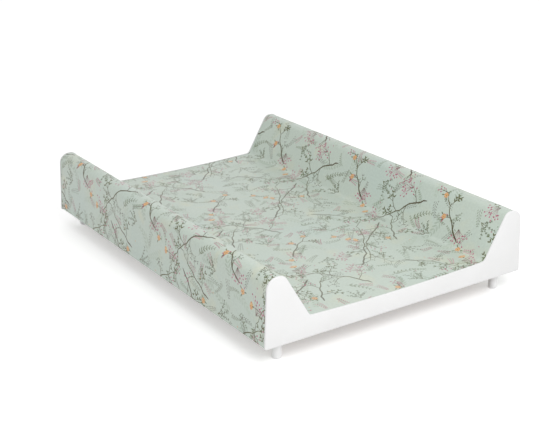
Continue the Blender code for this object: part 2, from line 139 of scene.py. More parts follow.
class MatPrint(bpy.types.PropertyGroup):
    """The botanical print and its inks."""

    tile_across: length("Tile Across", "Width of one repeat across the mat", 244 * MM)
    tile_along: length("Tile Along", "Length of one repeat along the mat", 252 * MM)
    seed: IntProperty(name="Seed", description="Picks the jitter of leaves and buds", default=11)
    ground: colour("Ground", "Sage ground", (0.522, 0.598, 0.526))
    ground_warm: colour("Warm Ground", "Warmer patches of the ground", (0.580, 0.610, 0.480))
    ground_cool: colour("Cool Ground", "Cooler patches of the ground", (0.500, 0.590, 0.532))
    twig: colour("Twig", "Dark stems at their base", (0.048, 0.031, 0.003))
    twig_tip: colour("Twig Tip", "Stems at their tip", (0.088, 0.090, 0.012))
    leaf: colour("Leaf", "Olive leaves", (0.080, 0.082, 0.014))
    leaf_grey: colour("Grey Leaf", "Grey-green leaves", (0.158, 0.222, 0.118))
    drop: colour("Drop", "Grey-violet seed drops", (0.124, 0.127, 0.098))
    ghost: colour("Ghost", "Pale foliage behind the rest", (0.350, 0.432, 0.318))
    bud: colour("Bud", "Deep pink buds", (0.330, 0.048, 0.115))
    bud_pale: colour("Pale Bud", "Light pink buds", (0.500, 0.205, 0.270))
    petal: colour("Petal", "Orange petals at their tip", (0.560, 0.235, 0.070))
    petal_light: colour("Light Petal", "Orange petals at their root", (0.700, 0.450, 0.200))
    heart: colour("Heart", "Dark heart of a blossom", (0.100, 0.050, 0.030))


class MatStudio(bpy.types.PropertyGroup):
    """Camera, lamps and floor."""

    focal_length: number("Lens", "Focal length in millimetres", 75.93)
    azimuth: number("Azimuth", "Turn of the view in degrees", -33.561)
    elevation: number("Elevation", "Rise of the view in degrees", 20.920)
    roll: number("Roll", "Roll of the camera in degrees", -0.529)
    camera_place: spot("Camera Place", "Where the camera stands", (-1.03766, -1.55308, 0.78457))
    sky_strength: number("Sky", "Strength of the even light", 0.72)
    key_power: number("Key", "Power of the key lamp in watts", 9.3)
    key_size: length("Key Size", "Breadth of the key lamp", 1)
    key_place: spot("Key Place", "Where the key lamp stands", (-0.20, -1.20, 1.10))
    floor_size: length("Floor Size", "Side of the studio floor", 24)
    floor_colour: colour("Floor", "Pale studio floor", (0.86, 0.86, 0.86))
    floor_glow: number("Floor Glow", "Light of the floor where it is seen", 0.4)


def deselect():
    """Leave nothing selected."""
    bpy.ops.object.select_all(action="DESELECT")


def activate(piece):
    """Make one piece the selected and active one."""
    deselect()
    piece.select_set(True)
    bpy.context.view_layer.objects.active = piece


def new_object(name, data):
    """An object in the scene that shows some data."""
    made = bpy.data.objects.new(name, data)
    bpy.context.scene.collection.objects.link(made)
    return made


def half_turned(piece):
    """A copy of a piece with its own mesh, turned half round the middle of the mat."""
    copy = new_object(piece.name, piece.data.copy())
    copy.data.transform(Matrix.Diagonal((-1, -1, 1, 1)))
    return copy


def settle(piece, name, slot, materials, *replaced):
    """Name a finished piece, fix its place in its mesh, dress it and let it ride on the mat."""
    activate(piece)
    bpy.ops.object.transform_apply(location=True, rotation=True, scale=True)
    piece.name = name
    piece.data.name = name
    for material in materials:
        piece.data.materials.append(material)
    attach(piece, "root")
    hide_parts(*replaced)


def pick(piece, kind, wanted):
    """In edit mode, select just the faces or edges that a test accepts."""
    bpy.ops.mesh.select_mode(type=kind)
    bpy.ops.mesh.select_all(action="DESELECT")
    shape = bmesh.from_edit_mesh(piece.data)
    for part in shape.faces if kind == "FACE" else shape.edges:
        if wanted(part):
            part.select_set(True)
    bmesh.update_edit_mesh(piece.data)


def extrude(offset):
    """Extrude the selected faces by an offset."""
    bpy.ops.mesh.extrude_region_move(TRANSFORM_OT_translate={"value": offset})


def ring_on(points, y):
    """A filled ring primitive, set on an outline of (x, z) in the plane of a y and open for editing."""
    deselect()
    bpy.ops.mesh.primitive_circle_add(vertices=len(points), radius=1, fill_type="NGON")
    ring = bpy.context.object
    for vert, (x, z) in zip(ring.data.vertices, points):
        vert.co = (x, y, z)
    ring.data.update()
    activate(ring)
    bpy.ops.object.mode_set(mode="EDIT")
    bpy.ops.mesh.select_all(action="SELECT")
    return ring


def turn_faces_out():
    """In edit mode, turn every face of a closed shape outwards."""
    bpy.ops.mesh.select_all(action="SELECT")
    bpy.ops.mesh.normals_make_consistent(inside=False)


def shade_softly():
    """Leave edit mode and shade every edge smooth but the sharp ones."""
    bpy.ops.object.mode_set(mode="OBJECT")
    bpy.ops.object.shade_smooth_by_angle(angle=math.radians(35))


def outline_arc(corner, before, after, radius, step):
    """Points and outward normals where a corner between two straight runs is rounded."""
    to_before, to_after = (before - corner).normalized(), (after - corner).normalized()
    half_angle = to_before.angle(to_after) / 2
    centre = corner + (to_before + to_after).normalized() * radius / math.sin(half_angle)
    first = corner + to_before * radius / math.tan(half_angle) - centre
    last = corner + to_after * radius / math.tan(half_angle) - centre
    start = math.atan2(first.y, first.x)
    sweep = (math.atan2(last.y, last.x) - start + math.pi) % math.tau - math.pi
    outward = 1 if sweep < 0 else -1
    count = max(2, round(abs(sweep) * radius / step))
    rows = []
    for i in range(count + 1):
        angle = start + sweep * i / count
        normal = Vector((math.cos(angle), math.sin(angle)))
        rows.append((centre + normal * radius, normal * outward))
    return rows


def half_outline(inset, end_x, step=0.5 * MM):
    """Right half of the profile, moved in, from the floor's middle over the wing to a place below."""
    sizes = bpy.context.scene.mat_section
    half, low = sizes.half_width, PANEL_UNDERSIDE
    crease = Vector((half - sizes.bolster_breadth, low + sizes.floor_height))
    slope = 2 * sizes.floor_dish / crease.x
    stops = (
        crease - Vector((1, slope)) * sizes.floor_dish,
        crease,
        Vector((half - sizes.wing_breadth, PANEL_TOP)),
        Vector((half - sizes.side_lean, PANEL_TOP)),
        Vector((half, low)),
        Vector((0, low)),
    )
    radii = (sizes.crease_radius, sizes.wing_inner_radius, sizes.wing_outer_radius, sizes.foot_radius)
    arcs = []
    for before, corner, after, radius in zip(stops, stops[1:], stops[2:], radii):
        arcs += outline_arc(corner, before, after, radius, step)
    rows = []
    floor_steps = 40
    for i in range(floor_steps):
        x = arcs[0][0].x * i / floor_steps
        z = crease.y - sizes.floor_dish * (1 - (x / crease.x) ** 2)
        rows.append((Vector((x, z)), Vector((-slope * x / crease.x, 1)).normalized()))
    rows += [*arcs, (Vector((end_x, low)), Vector((0, -1)))]
    points = np.array([tuple(point - normal * inset) for point, normal in rows])
    normals = np.array([tuple(normal) for _, normal in rows])
    return points, normals


def full_ring(inset, step=1.5 * MM):
    """Closed profile, moved in, as a list of (x, z) points."""
    points, _ = half_outline(inset, 0, step)
    right = [tuple(point) for point in points[:-1]]
    left = [(-x, z) for x, z in right[:0:-1]]
    return right + left


# The print is drawn in millimetres, each shape with an ink at its root and another at its tip

Shape = namedtuple("Shape", "points root tip near far cover")

BARK = ("twig", "twig_tip")

LEAF = ((0.16, 0.62), (0.42, 1.0), (0.74, 0.72))
BERRY = ((0.07, 0.52), (0.35, 0.98), (0.75, 0.86))
DROP = ((0.38, 0.72), (0.74, 1.0))
PETAL = ((0.25, 0.5), (0.62, 0.98), (0.9, 0.8))

# Widths of a stroke at its root and at its tip

LINES = {
    "branch": (3.0, 1.0), "twig": (1.6, 0.7), "flower stalk": (1.3, 0.7), "spur": (1.1, 0.6),
    "seed stalk": (1.0, 0.45), "sprig": (0.9, 0.4), "berry stalk": (0.8, 0.45),
}


def ahead(heading, reach):
    """A step in a direction."""
    return Vector((math.cos(heading), math.sin(heading))) * reach


def leaf(root, heading, reach, breadth, ink, profile=LEAF, cover=1.0):
    """A leaf, bud or petal with the same profile on both sides of its axis."""
    across = ahead(heading + math.pi / 2, breadth / 2)
    tip = root + ahead(heading, reach)
    left = [root + (tip - root) * along + across * wide for along, wide in profile]
    right = [root + (tip - root) * along - across * wide for along, wide in reversed(profile)]
    return Shape([root, *left, tip, *right], root, tip, *ink, cover)


def wander(dice, root, heading, reach, kinks, stray, bend=0.0):
    """Points and headings along a path that strays at each kink."""
    path = [(root, heading)]
    for i in range(kinks):
        now = heading + bend * (i + 0.5) / kinks + dice.uniform(-stray, stray)
        path.append((path[-1][0] + ahead(now, reach / kinks), now))
    return path


def stroke(path, line, ink, cover=1.0):
    """A tapering stroke along a path, drawn as one of the lines."""
    root_width, tip_width = LINES[line]
    left, right = [], []
    for i, (point, heading) in enumerate(path):
        onward = path[min(i + 1, len(path) - 1)][1]
        half = (root_width + (tip_width - root_width) * i / (len(path) - 1)) / (2 if i else 4)
        across = ahead((heading + onward) / 2 + math.pi / 2, half)
        left.append(point + across)
        right.append(point - across)
    return Shape(left + right[::-1], path[0][0], path[-1][0], *ink, cover)


def forked_twig(dice, root, heading, reach, side, fruit):
    """A twig with short spurs, each ending in leaves, berries or drops."""
    path = wander(dice, root, heading, reach, 3, 0.3, side * 0.4)
    shapes = [stroke(path, "twig", BARK)]
    for i, (point, along) in enumerate(path[1:], 1):
        for turn in (-side, side):
            if i == 1 and turn == side:
                continue
            lean = along + turn * dice.uniform(0.5, 0.9)
            spur = wander(dice, point, lean, reach * dice.uniform(0.18, 0.34), 1, 0.2)
            shapes.append(stroke(spur, "spur", BARK))
            shapes += tipped(dice, spur[-1][0], lean, fruit)
    shapes += tipped(dice, *path[-1], fruit)
    return shapes


def tipped(dice, point, heading, fruit):
    """What grows at the tip of a spur."""
    if fruit == "leaves":
        tone = ("leaf", dice.choice(("leaf", "leaf_grey")))
        return [
            leaf(point - ahead(heading, 1), heading + turn, dice.uniform(4.8, 7.4), 2.5, tone)
            for turn in (-0.7, 0.5)
        ]
    if fruit == "berries":
        tone = dice.choice((("bud", "bud_pale"), ("bud", "bud"), ("bud_pale", "bud")))
        return [leaf(point, heading, dice.uniform(3.0, 3.9), 2.7, tone, BERRY)]
    tone = ("drop", dice.choice(("drop", "leaf_grey")))
    return [
        leaf(point + ahead(heading + turn, 0.8), heading + turn, 3.9, 2.1, tone, DROP) for turn in (-0.9, 0.4)
    ]


def branch(dice, root, heading, fruits):
    """A crooked branch with forked twigs on both sides and a spray at its end."""
    reach = 24 * len(fruits)
    path = wander(dice, root, heading, reach, 3 * len(fruits), 0.36, dice.choice((-0.5, 0.5)))
    shapes = [stroke(path, "branch", BARK)]
    for i, fruit in enumerate(fruits):
        point, along = path[3 * i + 3]
        side = 1 if i % 2 else -1
        twig_reach = reach * dice.uniform(0.17, 0.26)
        if fruit == "blossom":
            twig = wander(dice, point, along + side * 0.9, twig_reach * 0.6, 2, 0.25)
            shapes.append(stroke(twig, "flower stalk", BARK))
            shapes += half_open(*twig[-1], radius=6.0)
            continue
        lean = along + side * dice.uniform(0.6, 0.95)
        shapes += forked_twig(dice, point, lean, twig_reach, side, fruit)
    return shapes


def berry_fan(dice, root, heading, reach, stalks):
    """A fan of fine curved stalks with berries at their ends and sides."""
    shapes = []
    for i in range(stalks):
        spread = 1.9 * (i / (stalks - 1) - 0.5)
        stalk = reach * dice.uniform(0.6, 1.05)
        path = wander(dice, root, heading + spread * 0.5, stalk, 3, 0.1, spread * 0.8)
        shapes.append(stroke(path, "berry stalk", ("twig", "bud_pale")))
        shapes += tipped(dice, *path[-1], "berries")
        side, along = path[2]
        lean = along + dice.choice((-0.8, 0.8))
        shapes += tipped(dice, side + ahead(lean, 2), lean, "berries")
    return shapes


def drop_spray(dice, root, heading, reach, stalks):
    """Upright stalks set with drop-shaped seeds."""
    shapes = []
    for i in range(stalks):
        lean = 0.3 * (i - (stalks - 1) / 2)
        path = wander(dice, root, heading + lean, reach * dice.uniform(0.6, 1.0), 5, 0.16, 1.5 * lean)
        shapes.append(stroke(path, "seed stalk", ("twig_tip", "drop")))
        for j, (point, along) in enumerate(path[2:]):
            for turn in (-0.7, 0.6):
                near = point - ahead(along, dice.uniform(0, 3))
                size = dice.uniform(3.4, 4.2) * (1.2 - 0.15 * j)
                shapes.append(leaf(near, along + turn, size, 2.1, ("drop", "leaf_grey"), DROP))
    return shapes


def sprig(dice, root, heading, reach, pairs, leaf_reach, ink, cover=1.0):
    """A curved stem with paired leaves that shorten towards its tip."""
    path = wander(dice, root, heading, reach, pairs, 0.05, dice.choice((-0.9, 0.9)))
    stem_ink = ("twig_tip", ink[1]) if cover > 0.5 else ink
    shapes = [stroke(path, "sprig", stem_ink, cover)]
    for i, (point, along) in enumerate(path[1:]):
        size = leaf_reach * (1.05 - 0.6 * i / pairs)
        for turn in (-1, 1):
            lean = along + turn * dice.uniform(0.65, 0.95)
            shapes.append(leaf(point, lean, size, size * 0.34, ink, LEAF, cover))
    return shapes


def blossom(centre, heading, radius):
    """An open blossom of five broad petals round a dark heart."""
    shapes = []
    for i in range(5):
        turn = heading + math.tau * i / 5
        shapes.append(leaf(centre, turn, radius, radius * 0.85, ("petal_light", "petal"), PETAL))
    start, size = centre - ahead(heading, radius * 0.2), radius * 0.4
    shapes.append(leaf(start, heading, size, size, ("heart", "petal"), BERRY))
    return shapes


def half_open(root, heading, radius):
    """A blossom seen from its side: petals in a fan on a dark cup."""
    shapes = []
    for turn, tone in ((-0.65, "petal"), (0.65, "petal"), (-0.25, "petal_light"), (0.2, "petal")):
        ink = ("petal_light", tone)
        shapes.append(leaf(root, heading + turn, radius * 1.6, radius * 0.75, ink, PETAL))
    cup = root - ahead(heading, 1)
    shapes.append(leaf(cup, heading, radius * 0.7, radius * 0.5, ("heart", "leaf")))
    return shapes


def anticlockwise(points):
    """An outline in metres that runs anticlockwise, from one in millimetres."""
    area = sum(a.cross(b) for a, b in zip(points, points[1:] + points[:1]))
    return [point * MM for point in (points if area > 0 else points[::-1])]


# Places in one repeat: share across, share along, heading in degrees, and what a branch bears

SPRAYS = ((0.22, 0.66, 100), (0.72, 0.16, 80), (0.93, 0.78, 250), (0.45, 0.13, 285))
FANS = ((0.33, 0.45, 20), (0.83, 0.93, 200), (0.60, 0.72, 330), (0.08, 0.20, 150), (0.97, 0.47, 95))
SPRIGS = ((0.42, 0.62, 150), (0.75, 0.36, 330), (0.10, 0.82, 15))
BRANCHES = (
    (0.04, 0.05, 40, "leaves berries drops blossom leaves berries leaves"),
    (0.60, 0.55, 215, "drops leaves blossom berries leaves drops berries"),
    (0.92, 0.30, 118, "berries drops leaves berries blossom leaves"),
    (0.30, 0.96, 325, "leaves drops berries leaves"),
    (0.74, 0.90, 62, "drops berries leaves berries"),
    (0.50, 0.24, 64, "leaves berries drops leaves"),
)
BLOSSOMS = ((0.47, 0.30, 10), (0.87, 0.10, 40), (0.18, 0.53, 65), (0.70, 0.86, 25), (0.01, 0.66, 80))
FALLEN = (
    (0.27, 0.14, 20), (0.62, 0.33, 140), (0.78, 0.72, 250), (0.45, 0.90, 80), (0.04, 0.94, 200),
    (0.56, 0.18, 45), (0.27, 0.78, 170), (0.90, 0.66, 100), (0.50, 0.52, 15), (0.36, 0.22, 310),
)


def tile_shapes():
    """Every shape rooted in one repeat of the print, in painting order, in metres."""
    settings = bpy.context.scene.mat_print
    dice = random.Random(settings.seed)
    across, along = settings.tile_across / MM, settings.tile_along / MM

    def at(row):
        return Vector((row[0] * across, row[1] * along)), math.radians(row[2])

    shapes = []
    for row in SPRAYS:
        shapes += drop_spray(dice, *at(row), reach=36, stalks=4)
    for row in SPRIGS:
        ink = ("leaf_grey", "leaf")
        shapes += sprig(dice, *at(row), reach=46, pairs=7, leaf_reach=8, ink=ink, cover=0.8)
    for row in FANS:
        shapes += berry_fan(dice, *at(row), reach=30, stalks=8)
    for row in BRANCHES:
        shapes += branch(dice, *at(row), row[3].split())
    for row in BLOSSOMS:
        shapes += blossom(*at(row), radius=5.1)
        centre, heading = at(row)
        for turn in (0.3, 2.2, 4.4):
            start, lean = centre + ahead(heading + turn, 4.5), heading + turn
            shapes.append(leaf(start, lean, 6.5, 2.3, ("leaf", "leaf_grey")))
    for row in FALLEN:
        tone = dice.choice((("petal_light", "petal"), ("bud_pale", "bud")))
        shapes.append(leaf(*at(row), reach=4, breadth=2, ink=tone, profile=DROP, cover=0.8))
    return [
        Shape(anticlockwise(shape.points), shape.root * MM, shape.tip * MM, *shape[3:]) for shape in shapes
    ]


# How finely the film is cut, and how near two points are merged or taken to lie on its edge

MESH_SPACING = 12 * MM
MERGE_REACH = 0.0001 * MM
EDGE_REACH = 0.001 * MM


def repeats(reach_across, reach_along):
    """Places of the repeats, in a half-drop layout, that cover the film and a margin round it."""
    settings = bpy.context.scene.mat_print
    columns = math.ceil(reach_across / settings.tile_across) + 2
    rows = math.ceil(reach_along / settings.tile_along) + 2
    for i in range(-columns, columns):
        for j in range(-rows, rows):
            yield Vector((i * settings.tile_across, (j + (i % 2) / 2) * settings.tile_along))


def sheet_points(across, along):
    """Points round the sheet's edge, anticlockwise."""
    points = [Vector((x, along[0])) for x in across[:-1]]
    points += [Vector((across[-1], y)) for y in along[:-1]]
    points += [Vector((x, along[-1])) for x in across[:0:-1]]
    return points + [Vector((across[0], y)) for y in along[:0:-1]]


def drawn_on(half_reach, half_length):
    """Every shape of every repeat that reaches the sheet, with its repeat's place."""
    places = list(repeats(half_reach, half_length))
    for shape in tile_shapes():
        low, high = np.min(shape.points, axis=0), np.max(shape.points, axis=0)
        for place in places:
            if abs(place.x + (low[0] + high[0]) / 2) > half_reach + (high[0] - low[0]) / 2:
                continue
            if abs(place.y + (low[1] + high[1]) / 2) > half_length + (high[1] - low[1]) / 2:
                continue
            yield shape, place


def ink_at(shape, inks, place):
    """Colour and cover of a shape at a place in its repeat."""
    axis = shape.tip - shape.root
    share = (place - shape.root).dot(axis) / axis.length_squared
    share = min(1, max(0, share))
    mix = (a + (b - a) * share for a, b in zip(inks[shape.near], inks[shape.far]))
    return (*mix, shape.cover)


def printed_sheet(half_reach, half_length, folds):
    """The flat film, cut into triangles along the edges of its print and along its folds.

    Returns the places of its vertices, its triangles, and a colour with cover for each corner.
    """
    across, along = (
        np.linspace(-half, half, round(2 * half / MESH_SPACING) + 1) for half in (half_reach, half_length)
    )
    points = sheet_points(across, along)
    faces = [list(range(len(points)))]
    creases = []
    for fold in (side * fold for side in (-1, 1) for fold in folds):
        creases.append((len(points), len(points) + 1))
        points += [Vector((fold, along[0])), Vector((fold, along[-1]))]
    drawn = list(drawn_on(half_reach, half_length))
    settings = bpy.context.scene.mat_print
    named = {name for shape, _ in drawn for name in (shape.near, shape.far)}
    inks = {name: tuple(getattr(settings, name)) for name in named}
    for shape, place in drawn:
        faces.append(list(range(len(points), len(points) + len(shape.points))))
        points += [point + place for point in shape.points]
    step = (across[1] - across[0], along[1] - along[0])
    for x in across[:-1]:
        for j, y in enumerate(along[:-1]):
            shift = 0.75 if j % 2 else 0.25
            points.append(Vector((x + shift * step[0], y + 0.5 * step[1])))
    verts, _, triangles, _, _, sources = delaunay_2d_cdt(points, creases, faces, 0, MERGE_REACH, True)
    kept, corner_inks = [], []
    for triangle, source in zip(triangles, sources):
        if 0 not in source:
            continue
        kept.append(triangle)
        if max(source) == 0:
            corner_inks += [(0, 0, 0, 0)] * 3
            continue
        shape, place = drawn[max(source) - 1]
        corner_inks += [ink_at(shape, inks, verts[corner] - place) for corner in triangle]
    kept = np.array(kept)
    used = np.unique(kept)
    renumber = np.zeros(len(verts), int)
    renumber[used] = np.arange(len(used))
    flat = np.array([tuple(verts[i]) for i in used])
    for axis, reach in ((0, half_reach), (1, half_length)):
        on_edge = np.abs(np.abs(flat[:, axis]) - reach) < EDGE_REACH
        flat[on_edge, axis] = np.sign(flat[on_edge, axis]) * reach
    return flat, renumber[kept], corner_inks


def running(steps):
    """Running total, from nought."""
    return np.concatenate([[0], np.cumsum(steps)])


class FilmSurface:
    """The film's outer face as a function of the reach across it and the place along the mat."""

    def __init__(self, inset, end_x):
        points, normals = half_outline(inset, end_x)
        self.reach = running(np.hypot(*np.diff(points, axis=0).T))
        self.half_reach = self.reach[-1]
        self.points = points
        self.normals = normals

    def folds(self, turn=math.radians(15)):
        """Reaches at which the film has bent by equal turns."""
        facing = np.unwrap(np.arctan2(self.normals[:, 1], self.normals[:, 0]))
        bent = running(np.abs(np.diff(facing)))
        return np.interp(np.arange(turn / 2, bent[-1], turn), bent, self.reach)

    def puckers(self, across, along):
        """Soft swell of the film over the foam, none at the panels and on the hems."""
        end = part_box("cover")[1].y
        calm_at_panels, calm_at_hems, hem_fade = 18 * MM, 45 * MM, 30 * MM
        calm = np.clip((end - np.abs(along)) / calm_at_panels, 0, 1) ** 2
        hem = np.clip((self.half_reach - calm_at_hems - np.abs(across)) / hem_fade, 0, 1)
        long_wave, short_wave, cross_wave = 173 * MM, 91 * MM, 119 * MM
        wave = (
            np.sin(along * math.tau / long_wave + np.sin(across * 9) * 2.0)
            + 0.7 * np.sin(along * math.tau / short_wave + across * 31 + 1.3)
            + 0.6 * np.sin(across * math.tau / cross_wave + along * 11)
        )
        swell, deepest = 0.14 * MM, 2.3
        return swell * (wave + deepest) * calm * hem

    def place(self, across, along, depth=0.0):
        """Points on the film, moved in by a depth."""
        rows = (*self.points.T, *self.normals.T)
        x, z, normal_x, normal_z = (np.interp(np.abs(across), self.reach, row) for row in rows)
        lift = self.puckers(across, along) - depth
        return np.column_stack([np.sign(across) * (x + normal_x * lift), along, z + normal_z * lift])

    def normal(self, across, along):
        """Outward unit normals."""
        nudge = 0.2 * MM
        over = self.place(across + nudge, along) - self.place(across - nudge, along)
        onward = self.place(across, along + nudge) - self.place(across, along - nudge)
        normals = np.cross(over, onward)
        return normals / np.linalg.norm(normals, axis=1)[:, None]


def backing_grid(half_reach, half_length, folds):
    """Places and faces of the film's plainer inner side, its faces turned away from the print."""
    columns, rows, least_gap = 20, 32, 4 * MM
    plain = np.linspace(0, half_reach, columns)[:-1]
    spans = [reach for reach in plain if np.abs(folds - reach).min() > least_gap]
    spans = np.array(sorted([*spans, *folds, half_reach]))
    spans = np.concatenate([-spans[:0:-1], spans])
    alongs = np.linspace(-half_length, half_length, rows)
    flat = np.array([(across, along) for across in spans for along in alongs])
    corners = [i * rows + j for i in range(len(spans) - 1) for j in range(rows - 1)]
    return flat, [(corner, corner + 1, corner + rows + 1, corner + rows) for corner in corners]


def rim_of(flat, faces):
    """Vertices round the rim of a flat mesh, the way its faces turn, from its lowest corner."""
    steps = {step for face in faces for step in zip(face, (*face[1:], face[0]))}
    onward = {first: second for first, second in steps if (second, first) not in steps}
    start = min(onward, key=lambda index: flat[index].sum())
    rim = [start, onward[start]]
    while rim[-1] != start:
        rim.append(onward[rim[-1]])
    return rim


def close_edges(flat, front, back):
    """Faces that join the print's rim to the backing's, which are walked together from one corner."""
    faces = []
    rounds = []
    for rim in (front, back):
        strides = np.linalg.norm(np.diff(flat[rim], axis=0), axis=1)
        rounds.append([*running(strides), np.inf])
    i = j = 0
    while i < len(front) - 1 or j < len(back) - 1:
        if rounds[0][i + 1] <= rounds[1][j + 1]:
            faces.append((front[i + 1], front[i], back[j]))
            i += 1
        else:
            faces.append((front[i], back[j], back[j + 1]))
            j += 1
    return faces


def build_cover():
    """Lay the printed sheet over the profile, back it and close its edges."""
    sizes = bpy.context.scene.mat_section
    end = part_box("cover")[1].y
    surface = FilmSurface(sizes.lip_proud, sizes.half_width - sizes.lip_proud - sizes.hem_breadth)
    folds = surface.folds()
    flat, triangles, corner_inks = printed_sheet(surface.half_reach, end, folds)
    back_flat, back_faces = backing_grid(surface.half_reach, end, folds)
    back_faces = [tuple(len(flat) + index for index in face) for face in back_faces]
    triangles = triangles.tolist()
    plane = np.concatenate([flat, back_flat])
    rim_faces = close_edges(plane, rim_of(plane, triangles), rim_of(plane, back_faces)[::-1])
    outer = surface.place(flat[:, 0], flat[:, 1])
    back = surface.place(back_flat[:, 0], back_flat[:, 1], sizes.film_thickness)
    mesh = bpy.data.meshes.new("cover_film")
    faces = [*triangles, *back_faces, *rim_faces]
    mesh.from_pydata(np.concatenate([outer, back]).tolist(), [], faces)
    kinds = np.repeat([0, 1, 2], [len(triangles), len(back_faces), len(rim_faces)])
    mesh.polygons.foreach_set("material_index", np.minimum(kinds, 1))
    inks = np.zeros((len(mesh.loops), 4), np.float32)
    inks[:len(corner_inks)] = corner_inks
    mesh.color_attributes.new("print", "FLOAT_COLOR", "CORNER").data.foreach_set("color", inks.ravel())
    cover = new_object("cover_film", mesh)
    dress_cover(mesh, surface, plane, kinds)
    settle(cover, "cover_film", "printed_film", (printed_film(), film_backing()), "cover")


def dress_cover(mesh, surface, plane, kinds):
    """Give the film its own maps, smooth shading and exact normals."""
    corners = np.zeros(len(mesh.loops), int)
    mesh.loops.foreach_get("vertex_index", corners)
    polygon_of = np.repeat(np.arange(len(mesh.polygons)), [face.loop_total for face in mesh.polygons])
    kind = kinds[polygon_of]
    outward = surface.normal(plane[:, 0], plane[:, 1])
    normals = outward[corners]
    normals[kind == 1] *= -1
    face_normals = np.array([tuple(face.normal) for face in mesh.polygons])
    normals[kind == 2] = face_normals[polygon_of][kind == 2]
    mesh.shade_smooth()
    mesh.normals_split_custom_set(normals.tolist())
    at = plane[corners]
    cloth = mesh.uv_layers.new(name="print_plane")
    cloth.uv.foreach_set("vector", at.astype(np.float32).ravel())
    share = (at - plane.min(axis=0)) / np.ptp(plane, axis=0)
    print_place = share * (0.98, 0.80) + (0.01, 0.01)
    backing_place = share * (0.98, 0.15) + (0.01, 0.84)
    packed = np.where(kind[:, None] == 0, print_place, backing_place)
    bake = mesh.uv_layers.new(name="OFBake")
    bake.uv.foreach_set("vector", packed.astype(np.float32).ravel())


def build_panels():
    """Profiled boards: a lip with a rounded front arris, and a body rebated behind it."""
    sizes = bpy.context.scene.mat_section
    low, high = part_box("end_panel_near")
    board = ring_on(full_ring(0), low.y)
    extrude((0, sizes.lip_thickness, 0))
    bpy.ops.mesh.inset(thickness=sizes.rebate, depth=0, use_even_offset=True)
    extrude((0, high.y - low.y - sizes.lip_thickness, 0))
    turn_faces_out()
    front = low.y + 0.01 * MM
    pick(board, "EDGE", lambda edge: max(vert.co.y for vert in edge.verts) < front)
    bpy.ops.mesh.bevel(offset=sizes.lip_arris, segments=4, affect="EDGES", clamp_overlap=False)
    shade_softly()
    lacquer = [white_lacquer()]
    for name, panel in (("near", board), ("far", half_turned(board))):
        settle(panel, "panel_board_" + name, "white_board", lacquer, "end_panel_" + name)


def build_pegs():
    """Turned pegs with a rounded tip, a shoulder, a tenon and a bore for the screw."""
    low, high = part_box("peg_near_left")
    radius = (high.x - low.x) / 2
    seat_gap = bpy.context.scene.mat_section.seat_gap
    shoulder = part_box("base_board")[0].z - seat_gap
    tenon_radius, bore_radius, bore_depth = 5 * MM, 2.05 * MM, 20 * MM
    tip_round, shoulder_round = 2.5 * MM, 0.4 * MM
    deselect()
    bpy.ops.mesh.primitive_cylinder_add(
        vertices=64, radius=radius, depth=shoulder - low.z, end_fill_type="NGON",
        location=(0, 0, (low.z + shoulder) / 2),
    )
    peg = bpy.context.object
    activate(peg)
    bpy.ops.object.transform_apply(location=True)
    bpy.ops.object.mode_set(mode="EDIT")
    pick(peg, "FACE", lambda face: face.normal.z < -0.9)
    bpy.ops.mesh.bevel(offset=tip_round, segments=8, affect="EDGES")
    pick(peg, "FACE", lambda face: face.normal.z > 0.9)
    bpy.ops.mesh.bevel(offset=shoulder_round, segments=3, affect="EDGES")
    pick(peg, "FACE", lambda face: face.normal.z > 0.99)
    bpy.ops.mesh.inset(thickness=radius - shoulder_round - tenon_radius)
    extrude((0, 0, high.z - shoulder))
    bpy.ops.mesh.inset(thickness=tenon_radius - bore_radius)
    extrude((0, 0, -bore_depth))
    shade_softly()
    plastic = [white_moulding()]
    for node in ("peg_" + end + "_" + side for end in ENDS for side in SIDES):
        low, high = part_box(node)
        copy = new_object(node, peg.data.copy())
        copy.location = ((low.x + high.x) / 2, (low.y + high.y) / 2, 0)
        settle(copy, "stop_" + node, "white_plastic", plastic, node)
    bpy.data.objects.remove(peg, do_unlink=True)


def eased(outline, radius):
    """A closed outline whose sharp outward corners are rounded."""
    ring = anticlockwise([Vector(point) / MM for point in outline])
    count = len(ring)
    dropped, arcs = set(), {}
    for i, corner in enumerate(ring):
        before, after = corner - ring[i - 1], ring[(i + 1) % count] - corner
        if math.atan2(before.cross(after), before.dot(after)) <= math.radians(30):
            continue
        dropped.add(i)
        ends = []
        for way in (-1, 1):
            j, left = i, radius
            while (ring[(j + way) % count] - ring[j % count]).length < left:
                left -= (ring[(j + way) % count] - ring[j % count]).length
                j += way
                dropped.add(j % count)
            step = ring[(j + way) % count] - ring[j % count]
            ends.append(ring[j % count] + step.normalized() * left)
        start, end = ends
        shares = (0, 0.25, 0.5, 0.75, 1)
        arcs[i] = [start * (1 - t) ** 2 + corner * 2 * t * (1 - t) + end * t ** 2 for t in shares]
    rounded = []
    for i, point in enumerate(ring):
        rounded += arcs.get(i, [] if i in dropped else [point])
    return rounded


